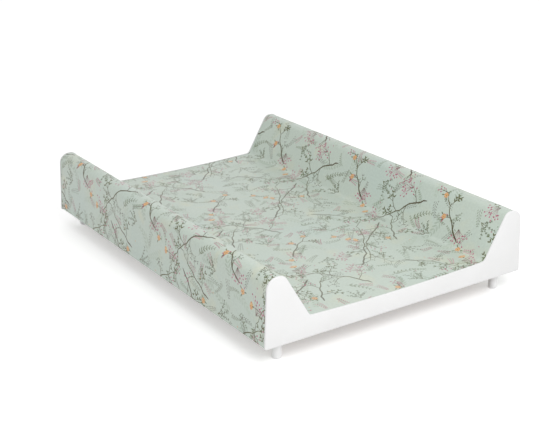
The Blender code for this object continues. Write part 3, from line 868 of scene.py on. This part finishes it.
def foam_block(outline, node):
    """A foam piece along the mat, with eased edges and ends and pockets over the battens."""
    low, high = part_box(node)
    end_round, edge_round = 1.2 * MM, 3.2 * MM
    block = ring_on(eased(outline, edge_round), low.y + end_round)
    extrude((0, high.y - low.y - 2 * end_round, 0))
    turn_faces_out()
    pick(block, "FACE", lambda face: abs(face.normal.y) > 0.9)
    bent = 0.0
    for turn in (math.pi / 6, math.pi / 3, math.pi / 2):
        inward = end_round * (math.cos(bent) - math.cos(turn))
        onward = end_round * (math.sin(turn) - math.sin(bent))
        bpy.ops.mesh.inset(thickness=inward, depth=onward, use_individual=True)
        bent = turn
    bpy.ops.object.mode_set(mode="OBJECT")
    gap = bpy.context.scene.mat_section.seat_gap
    for end in ENDS:
        batten_low, batten_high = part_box("batten_" + end)
        deselect()
        bpy.ops.mesh.primitive_cube_add(size=1, location=(batten_low + batten_high) / 2)
        pocket = bpy.context.object
        pocket.scale = batten_high - batten_low + Vector((2, 2, 2)) * gap
        cutter = block.modifiers.new("pocket", "BOOLEAN")
        cutter.object = pocket
        cutter.operation = "DIFFERENCE"
        activate(block)
        bpy.ops.object.modifier_apply(modifier="pocket")
        bpy.data.objects.remove(pocket, do_unlink=True)
    shade_softly()
    return block


def build_foam():
    """Both bolsters and the dished floor pad."""
    sizes = bpy.context.scene.mat_section
    points, _ = half_outline(sizes.rebate, 0, 1.5 * MM)
    floor_count = 60
    floor_points = points[:floor_count]

    def floor_at(x):
        return float(np.interp(x, *floor_points.T))

    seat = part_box("floor_foam")[0].z
    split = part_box("floor_foam")[1].x
    board_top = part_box("side_board_right")[1].z + sizes.seat_gap
    last = max(i for i, point in enumerate(points) if point[1] > board_top)
    start_x = split + sizes.seat_gap
    over = [(x, z) for x, z in points[:last + 1] if x > start_x]
    side_x = over[-1][0]
    inner_x = side_x - sizes.board_thickness - sizes.seat_gap
    start = [(start_x, seat), (start_x, floor_at(start_x))]
    foot_x = inner_x + 2 * MM
    bolster = start + over + [(side_x, board_top), (inner_x, board_top), (foot_x, seat)]
    left_block = foam_block([(-x, z) for x, z in bolster], "bolster_foam_left")
    right_block = half_turned(left_block)
    dish_low, dish_high = seat + 10 * MM, PANEL_UNDERSIDE + sizes.floor_height + 4 * MM
    dish = [(x, z) for x, z in floor_points if x < split and dish_low < z < dish_high]
    right = dish + [(split, floor_at(split)), (split, seat)]
    pad = foam_block(right + [(-x, z) for x, z in right[:0:-1]], "floor_foam")
    cells = [open_cell_foam()]
    for block, name, node in (
        (left_block, "left_bolster", "bolster_foam_left"),
        (right_block, "right_bolster", "bolster_foam_right"),
        (pad, "floor_pad", "floor_foam"),
    ):
        settle(block, name, "foam", cells, node)


# Layers of small sprigs behind the drawn motifs, in millimetres, with two inks for leaves and one for stalks

Layer = namedtuple("Layer", "turn cell reach spacing leaf breadth stem berry bare strength inks")

LAYERS = (
    Layer(20, 64, 46, 7.5, 15, 1.9, 0.4, False, 0.44, 0.34, "ghost leaf_grey ghost"),
    Layer(-35, 41, 27, 4.6, 7.0, 1.0, 0.36, False, 0.50, 0.66, "leaf_grey leaf twig_tip"),
    Layer(70, 37, 22, 4.2, 6.5, 1.2, 0.34, True, 0.55, 0.85, "bud_pale bud twig_tip"),
    Layer(-80, 47, 30, 5.2, 7.5, 1.2, 0.4, True, 0.48, 0.72, "drop leaf_grey twig"),
)

# What the layers share: shares first, then millimetres

CELL_STRAY = 0.7
STEM_BEND = 15.0
TIP_SHRINK = 0.6
BERRY_PLACE = 0.85
PATCH_SCALE = 11.0
STALK_HALF = 0.2
STALK_BLUR = 0.15
STEM_BLUR = 0.2
LEAF_BLUR = 0.3


def new_material(name):
    """A material and its node tree, which starts with a Principled shader."""
    made = bpy.data.materials.new(name)
    made.use_nodes = True
    return made, made.node_tree


def feed(tree, node, inputs):
    """Give a node's inputs values or linked sockets."""
    for key, value in inputs.items():
        if isinstance(value, bpy.types.NodeSocket):
            tree.links.new(value, node.inputs[key])
        else:
            node.inputs[key].default_value = value


def dress(tree, inputs):
    """Feed the Principled shader."""
    feed(tree, tree.nodes["Principled BSDF"], inputs)


def add_node(tree, kind, inputs, **settings):
    """A shader node with its settings, and its inputs as values or linked sockets."""
    node = tree.nodes.new("ShaderNode" + kind)
    for key, value in settings.items():
        setattr(node, key, value)
    feed(tree, node, inputs)
    return node


def own_place(tree):
    """Object coordinates."""
    return add_node(tree, "TexCoord", {}).outputs["Object"]


def grey(value):
    """A grey in linear light."""
    return (value, value, value)


def ramp(tree, factor, low_colour, high_colour, low=0.3, high=0.7):
    """A two-stop colour ramp."""
    node = add_node(tree, "ValToRGB", {"Fac": factor})
    stops = zip(node.color_ramp.elements, (low, high), (low_colour, high_colour))
    for stop, position, stop_colour in stops:
        stop.position = position
        stop.color = (*stop_colour, 1)
    return node.outputs["Color"]


def mixed(tree, factor, first, second, blend="MIX"):
    """A colour mix of two sockets or values."""
    first, second = (
        value if isinstance(value, bpy.types.NodeSocket) else (*value, 1) for value in (first, second)
    )
    inputs = {0: factor, 6: first, 7: second}
    return add_node(tree, "Mix", inputs, data_type="RGBA", blend_type=blend).outputs[2]


def noise(tree, vector, scale, detail=2.0, roughness=0.5, distortion=0.0):
    """Fractal noise."""
    inputs = {"Vector": vector, "Scale": scale, "Detail": detail, "Roughness": roughness}
    return add_node(tree, "TexNoise", {**inputs, "Distortion": distortion}).outputs["Fac"]


def cell_gaps(tree, vector, scale):
    """Distance to the middle of the nearest small cell."""
    return add_node(tree, "TexVoronoi", {"Vector": vector, "Scale": scale}).outputs["Distance"]


def bump(tree, height, strength, depth):
    """Normals from a height and a depth in millimetres."""
    inputs = {"Height": height, "Strength": strength, "Distance": depth * MM}
    return add_node(tree, "Bump", inputs).outputs["Normal"]


def calc(tree, operation, *values, clamp=False):
    """A sum on sockets and numbers."""
    return add_node(tree, "Math", dict(enumerate(values)), operation=operation, use_clamp=clamp).outputs[0]


def soft_mask(tree, inside, softness):
    """One inside a shape and nought outside it, from a distance to its edge."""
    return calc(tree, "DIVIDE", inside, softness * MM, clamp=True)


def sprig_layer(tree, plane, layer):
    """Small sprigs, one in each cell, turned at random: masks of stalks and leaves, and a number each."""
    sums = ("MULTIPLY", "ADD", "SUBTRACT", "DIVIDE", "GREATER_THAN", "LESS_THAN")
    times, plus, minus, over, above, below = (partial(calc, tree, name) for name in sums)
    positive = partial(calc, tree, "ABSOLUTE")
    shift = {"Rotation": (0, 0, math.radians(layer.turn)), "Location": (layer.turn, 1, 0)}
    turned = add_node(tree, "Mapping", {"Vector": plane, **shift}).outputs["Vector"]
    grid = {"Vector": turned, "Scale": 1 / (layer.cell * MM), "Randomness": CELL_STRAY}
    cells = add_node(tree, "TexVoronoi", grid, voronoi_dimensions="2D")
    own = add_node(tree, "SeparateColor", {"Color": cells.outputs["Color"]}).outputs
    local = add_node(tree, "VectorMath", {0: turned, 1: cells.outputs["Position"]}, operation="SUBTRACT")
    spin = {"Vector": local.outputs[0], "Angle": times(own[0], math.tau)}
    spun = add_node(tree, "VectorRotate", spin, rotation_type="Z_AXIS")
    axes = add_node(tree, "SeparateXYZ", {0: spun.outputs[0]}).outputs
    bend = calc(tree, "MULTIPLY_ADD", own[1], 2 * STEM_BEND, -STEM_BEND)
    side = positive(plus(axes[1], times(times(axes[0], axes[0]), bend)))
    along = calc(tree, "MULTIPLY_ADD", axes[0], 1 / (layer.reach * MM), 0.5)
    leaf_reach = calc(tree, "MULTIPLY_ADD", along, -TIP_SHRINK * layer.leaf * MM, layer.leaf * MM)
    step = over(minus(axes[0], side), layer.spacing * MM)
    offset = minus(calc(tree, "FRACT", step), 0.5)
    across = times(positive(offset), layer.spacing * MM * math.sqrt(0.5))
    out = over(times(side, math.sqrt(2)), leaf_reach)
    if layer.berry:
        beyond = times(minus(out, BERRY_PLACE), leaf_reach)
        squared = plus(times(beyond, times(beyond, 0.5)), times(across, across))
        inside = minus(layer.breadth * MM, calc(tree, "SQRT", squared))
        stalk = soft_mask(tree, minus(STALK_HALF * MM, across), STALK_BLUR)
        thread = times(stalk, below(out, BERRY_PLACE))
    else:
        crown = times(out, minus(1.0, out))
        inside = minus(times(crown, 4 * layer.breadth * MM), across)
        thread = 0.0
    stem = soft_mask(tree, minus(layer.stem * MM, side), STEM_BLUR)
    within = below(positive(minus(along, 0.5)), 0.5)
    grown = above(noise(tree, cells.outputs["Position"], PATCH_SCALE, 1.0), layer.bare)
    within = times(within, times(grown, layer.strength))
    stalks = times(calc(tree, "MAXIMUM", stem, thread), within)
    leaves = times(soft_mask(tree, inside, LEAF_BLUR), within)
    return stalks, leaves, own[2]


def printed_film():
    """Satin film with the botanical print over a mottled sage ground; the print is painted paler over the
    floor's middle as a painted sheen.
    """
    settings = bpy.context.scene.mat_print
    made, tree = new_material("printed_film")
    plane = add_node(tree, "UVMap", {}, uv_map="print_plane").outputs["UV"]
    place = own_place(tree)
    patch = ramp(tree, noise(tree, plane, 20.0, 3.0, 0.55, 0.6), grey(0), grey(0.75), 0.54, 0.72)
    ground = mixed(tree, patch, settings.ground, settings.ground_warm)
    cool = ramp(tree, noise(tree, plane, 6.3, 2.0), grey(0), grey(1), 0.50, 0.72)
    ground = mixed(tree, cool, ground, settings.ground_cool)
    wash = ramp(tree, noise(tree, plane, 260.0, 3.0, 0.6), grey(0.94), grey(1.05))
    ground = mixed(tree, 1.0, ground, wash, "MULTIPLY")
    for layer in LAYERS:
        stalks, leaves, toss = sprig_layer(tree, plane, layer)
        first, second, stalk = (getattr(settings, name) for name in layer.inks.split())
        ground = mixed(tree, stalks, ground, stalk)
        ground = mixed(tree, leaves, ground, ramp(tree, toss, first, second))
    ink = add_node(tree, "Attribute", {}, attribute_name="print", attribute_type="GEOMETRY").outputs
    pigment = ramp(tree, noise(tree, plane, 420.0, 2.0, 0.6), grey(0.80), grey(1.30), 0.30, 0.72)
    inked = mixed(tree, 1.0, ink["Color"], pigment, "MULTIPLY")
    reach = calc(tree, "ABSOLUTE", add_node(tree, "SeparateXYZ", {0: plane}).outputs[0])
    # Painted sheen: the print's cover drops to 0.8 over the middle of the floor, standing for the glossy wash
    # that lightens the print there at a low view.
    sheen_wash_from, sheen_wash_to, sheen_washed_floor_cover = 140 * MM, 185 * MM, 0.80
    sheen_washed = add_node(tree, "MapRange", {0: reach, 1: sheen_wash_from, 2: sheen_wash_to, 3: sheen_washed_floor_cover, 4: 1.0})
    cover = calc(tree, "MULTIPLY", ink["Alpha"], sheen_washed.outputs[0])
    dress(tree, {
        "Base Color": mixed(tree, cover, ground, inked),
        "Roughness": ramp(tree, noise(tree, place, 35.0, 3.0, 0.6), grey(0.38), grey(0.48)),
        "Specular IOR Level": 0.42,
        "Coat Weight": 0.45,
        "Coat Roughness": 0.3,
        "Normal": bump(tree, cell_gaps(tree, place, 1500.0), 0.10, 0.1),
    })
    return made


def speckled(name, speckle, dark, light, relief, strength, depth, others):
    """A material whose tone and relief follow noise, each as its scale, detail and roughness."""
    made, tree = new_material(name)
    place = own_place(tree)
    tone = ramp(tree, noise(tree, place, *speckle), dark, light)
    normal = bump(tree, noise(tree, place, *relief), strength, depth)
    dress(tree, {"Base Color": tone, "Normal": normal, **others})
    return made


def film_backing():
    """Knitted fleece on the film's inner face."""
    dark, light = (0.62, 0.63, 0.60), (0.80, 0.80, 0.78)
    knit = (1400, 2, 0.7)
    return speckled("film_backing", (900, 4, 0.7), dark, light, knit, 0.5, 0.3, {"Roughness": 0.92})


def white_lacquer():
    """Satin white lacquer with a faint orange peel."""
    peel = (420, 1, 0.4)
    made = speckled("white_lacquer", (14, 3, 0.5), (0.785, 0.785, 0.78), grey(0.815), peel, 0.06, 0.2, {})
    tree = made.node_tree
    sheen = noise(tree, own_place(tree), 90.0, 3.0, 0.6)
    dress(tree, {"Roughness": ramp(tree, sheen, grey(0.30), grey(0.38))})
    return made


def white_moulding():
    """White moulded plastic."""
    skin = (700, 1, 0.4)
    gloss = {"Roughness": 0.28}
    return speckled("white_moulding", (60, 2, 0.5), grey(0.90), grey(0.93), skin, 0.05, 0.1, gloss)


def open_cell_foam():
    """Cream open-cell foam."""
    made, tree = new_material("open_cell_foam")
    cells = cell_gaps(tree, own_place(tree), 900.0)
    tone = ramp(tree, cells, (0.60, 0.55, 0.42), (0.82, 0.78, 0.66), 0.0, 0.7)
    dress(tree, {"Base Color": tone, "Roughness": 0.97, "Normal": bump(tree, cells, 0.7, 0.6)})
    return made


def grained(name, light, dark, stretch, rings, roughness):
    """Planed timber whose grain runs along the axis that the stretch leaves longest."""
    made, tree = new_material(name)
    drawn = add_node(tree, "Mapping", {"Vector": own_place(tree), "Scale": stretch}).outputs["Vector"]
    warp = noise(tree, drawn, rings / 6, 4.0, 0.55)
    wave = noise(tree, drawn, rings, 5.0, 0.62, 0.6)
    tone = ramp(tree, wave, dark, light, 0.35, 0.68)
    tone = mixed(tree, warp, tone, [0.9 * part for part in light], "MULTIPLY")
    dress(tree, {"Base Color": tone, "Roughness": roughness, "Normal": bump(tree, wave, 0.25, 0.4)})
    return made


def hardboard():
    """Brown pressed board with short fibres."""
    made, tree = new_material("pressed_board")
    place = own_place(tree)
    fibre = noise(tree, place, 380.0, 5.0, 0.7, 0.8)
    tone = ramp(tree, fibre, (0.20, 0.125, 0.07), (0.36, 0.25, 0.155), 0.32, 0.70)
    shade = ramp(tree, noise(tree, place, 18.0, 3.0, 0.5), grey(0.88), grey(1.05))
    tone = mixed(tree, 1.0, tone, shade, "MULTIPLY")
    dress(tree, {"Base Color": tone, "Roughness": 0.62, "Normal": bump(tree, fibre, 0.2, 0.3)})
    return made


def zinc():
    """Zinc-plated wire."""
    dark, light = (0.56, 0.57, 0.58), (0.68, 0.68, 0.67)
    plated = {"Metallic": 1.0, "Roughness": 0.32}
    return speckled("zinc_plate", (500, 2, 0.5), dark, light, (1500, 1, 0.5), 0.1, 0.1, plated)


def dress_nodes():
    """Finish the CAD pieces that stay: boards, battens, dowels, screws and staples."""
    pine = (0.66, 0.48, 0.28), (0.50, 0.33, 0.17), (0.6, 8, 8), 26, 0.6
    beech = (0.58, 0.40, 0.24), (0.46, 0.30, 0.17), (9, 0.8, 9), 40, 0.55
    finishes = {
        "hardboard": hardboard(),
        "softwood": grained("planed_pine", *pine),
        "beech": grained("turned_beech", *beech),
        "zinc_steel": zinc(),
    }
    for part in frame["record"]["subparts"]:
        finish = finishes.get(part["material_slot"])
        if finish is None:
            continue
        piece = frame["nodes"][part["node"]]
        piece.data.materials.clear()
        piece.data.materials.append(finish)


def seen_directly(tree):
    """One where the camera looks, straight or through a shiny or clear surface."""
    path = add_node(tree, "LightPath", {}).outputs
    seen = calc(tree, "MAXIMUM", path["Is Camera Ray"], path["Is Glossy Ray"])
    return calc(tree, "MAXIMUM", seen, path["Is Transmission Ray"])


def build_floor(studio):
    """Pale floor that keeps the shadow and shines a little where it is seen."""
    deselect()
    bpy.ops.mesh.primitive_plane_add(size=studio.floor_size, location=(0, 0, FLOOR_LEVEL))
    ground = bpy.context.object
    ground.name = "studio_floor"
    made, tree = new_material("studio_floor")
    dress(tree, {
        "Base Color": (*studio.floor_colour, 1),
        "Roughness": 0.9,
        "Specular IOR Level": 0.1,
        "Emission Color": (1, 1, 1, 1),
        "Emission Strength": calc(tree, "MULTIPLY", seen_directly(tree), studio.floor_glow),
    })
    ground.data.materials.append(made)


def build_sky(studio):
    """Even light, and a white backdrop where it is seen."""
    world = bpy.data.worlds.new("studio")
    world.use_nodes = True
    bpy.context.scene.world = world
    tree = world.node_tree
    strengths = {0: seen_directly(tree), 2: studio.sky_strength, 3: 1.0}
    strength = add_node(tree, "Mix", strengths, data_type="FLOAT").outputs[0]
    feed(tree, tree.nodes["Background"], {"Color": (1, 1, 1, 1), "Strength": strength})


def build_stage():
    """Floor, even light, key lamp and the photograph's view."""
    studio = bpy.context.scene.mat_studio
    build_floor(studio)
    build_sky(studio)
    lamp = bpy.data.lights.new("key_lamp", "AREA")
    lamp.energy = studio.key_power
    lamp.shape = "DISK"
    lamp.size = studio.key_size
    key = new_object("key_lamp", lamp)
    key.location = studio.key_place
    key.rotation_euler = (-key.location).to_track_quat("-Z", "Y").to_euler()
    key.visible_camera = False
    camera = bpy.data.cameras.new("photo_camera")
    camera.lens = studio.focal_length
    camera.sensor_width = 36
    camera.sensor_fit = "HORIZONTAL"
    camera.clip_start = 0.01
    camera.clip_end = 100
    holder = new_object("photo_camera", camera)
    holder.matrix_world = camera_matrix(studio)
    bpy.context.scene.camera = holder
    bpy.context.scene.view_settings.view_transform = "Standard"


def camera_matrix(studio):
    """The photograph's view from its azimuth, elevation and roll."""
    azimuth, elevation = math.radians(studio.azimuth), math.radians(studio.elevation)
    back = Vector((
        math.sin(azimuth) * math.cos(elevation), -math.cos(azimuth) * math.cos(elevation), math.sin(elevation)
    ))
    level = back.to_track_quat("Z", "Y").to_matrix().to_4x4()
    roll = Matrix.Rotation(math.radians(studio.roll), 4, "Z")
    return Matrix.Translation(Vector(studio.camera_place)) @ level @ roll


class CHANGING_MAT_OT_foam(bpy.types.Operator):
    """Shape both foam bolsters and the dished floor pad"""

    bl_idname = "changing_mat.foam"
    bl_label = "Foam"

    def execute(self, context):
        build_foam()
        return {"FINISHED"}


class CHANGING_MAT_OT_cover(bpy.types.Operator):
    """Print the film, lay it over the foam and close its edges"""

    bl_idname = "changing_mat.cover"
    bl_label = "Printed Cover"

    def execute(self, context):
        build_cover()
        return {"FINISHED"}


class CHANGING_MAT_OT_panels(bpy.types.Operator):
    """Cut both profiled end panels"""

    bl_idname = "changing_mat.panels"
    bl_label = "End Panels"

    def execute(self, context):
        build_panels()
        return {"FINISHED"}


class CHANGING_MAT_OT_pegs(bpy.types.Operator):
    """Turn the four stop pegs"""

    bl_idname = "changing_mat.pegs"
    bl_label = "Stop Pegs"

    def execute(self, context):
        build_pegs()
        return {"FINISHED"}


class CHANGING_MAT_OT_boards(bpy.types.Operator):
    """Finish the boards, battens, dowels, screws and staples"""

    bl_idname = "changing_mat.boards"
    bl_label = "Boards and Fixings"

    def execute(self, context):
        dress_nodes()
        return {"FINISHED"}


class CHANGING_MAT_OT_stage(bpy.types.Operator):
    """Set up the floor, the lamps and the camera"""

    bl_idname = "changing_mat.stage"
    bl_label = "Studio"

    def execute(self, context):
        build_stage()
        return {"FINISHED"}


class CHANGING_MAT_PT_looks(bpy.types.Panel):
    """Sidebar panel that lists the steps and the settings"""

    bl_label = "Changing Mat"
    bl_idname = "CHANGING_MAT_PT_looks"
    bl_space_type = "VIEW_3D"
    bl_region_type = "UI"
    bl_category = "Changing Mat"

    def draw(self, context):
        for operator in OPERATORS:
            self.layout.operator(operator.bl_idname)
        for group in (context.scene.mat_section, context.scene.mat_print, context.scene.mat_studio):
            box = self.layout.box()
            for name in group.__annotations__:
                box.prop(group, name)


OPERATORS = (
    CHANGING_MAT_OT_foam,
    CHANGING_MAT_OT_cover,
    CHANGING_MAT_OT_panels,
    CHANGING_MAT_OT_pegs,
    CHANGING_MAT_OT_boards,
    CHANGING_MAT_OT_stage,
)
GROUPS = {"mat_section": MatSection, "mat_print": MatPrint, "mat_studio": MatStudio}


def register():
    """Register the settings, the operators and the panel."""
    for name, group in GROUPS.items():
        bpy.utils.register_class(group)
        setattr(bpy.types.Scene, name, PointerProperty(type=group))
    for operator in OPERATORS:
        bpy.utils.register_class(operator)
    bpy.utils.register_class(CHANGING_MAT_PT_looks)


def unregister():
    """Take everything back in turn."""
    bpy.utils.unregister_class(CHANGING_MAT_PT_looks)
    for operator in reversed(OPERATORS):
        bpy.utils.unregister_class(operator)
    for name, group in reversed(GROUPS.items()):
        delattr(bpy.types.Scene, name)
        bpy.utils.unregister_class(group)


def main():
    """Run every step in order."""
    register()
    bpy.ops.changing_mat.foam()
    bpy.ops.changing_mat.cover()
    bpy.ops.changing_mat.panels()
    bpy.ops.changing_mat.pegs()
    bpy.ops.changing_mat.boards()
    bpy.ops.changing_mat.stage()


if __name__ == "__main__":
    main()
